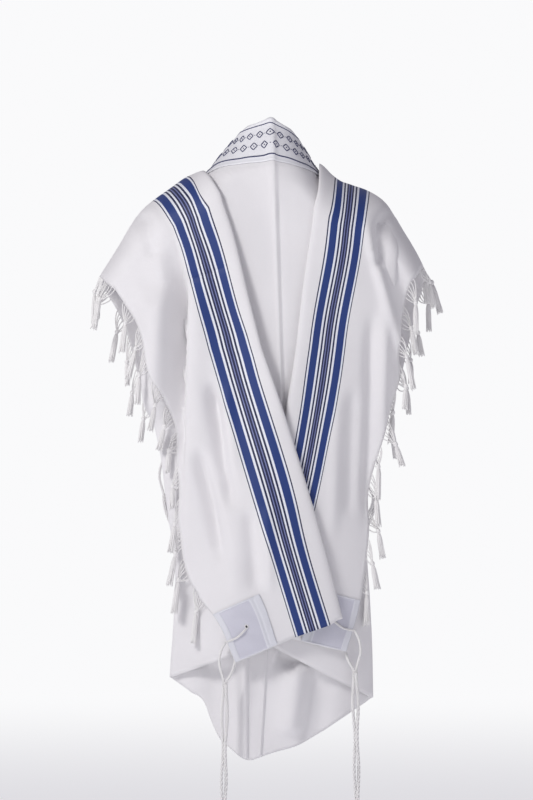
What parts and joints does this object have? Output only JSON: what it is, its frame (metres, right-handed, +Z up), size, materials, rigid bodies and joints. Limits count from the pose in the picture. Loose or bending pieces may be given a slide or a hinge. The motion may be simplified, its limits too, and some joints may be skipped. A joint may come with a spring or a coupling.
{
  "type": "tallit prayer shawl",
  "caption": "Worn wool prayer shawl with blue striped bands, an embroidered neckband, corner patches, knotted corner threads and fringed ends thrown back over both shoulders.",
  "frame": {"origin": "where the shawl rests on the wearer: the middle of the neck's base, level with the shoulder tops", "axes": "+Z up, towards the head; the wearer faces +Y, so the back of the shawl faces -Y; +X to the wearer's right"},
  "size_m": [0.6513, 0.3352, 1.333],
  "materials": {
    "white_wool": "matte woven wool",
    "white_satin": "soft satin",
    "wool_thread": "twisted wool thread"
  },
  "bodies": {
    "root": {"back_cloth": "white_wool", "left_wing": "white_wool", "right_wing": "white_wool", "neckband": "white_satin", "patch_back_left": "white_satin", "patch_back_right": "white_satin", "patch_front_left": "white_satin", "patch_front_right": "white_satin", "fringe_left": "wool_thread", "fringe_right": "wool_thread", "tzitzit_back_left": "wool_thread", "tzitzit_back_right": "wool_thread", "tzitzit_front_left": "wool_thread", "tzitzit_front_right": "wool_thread"}
  },
  "joints": []
}
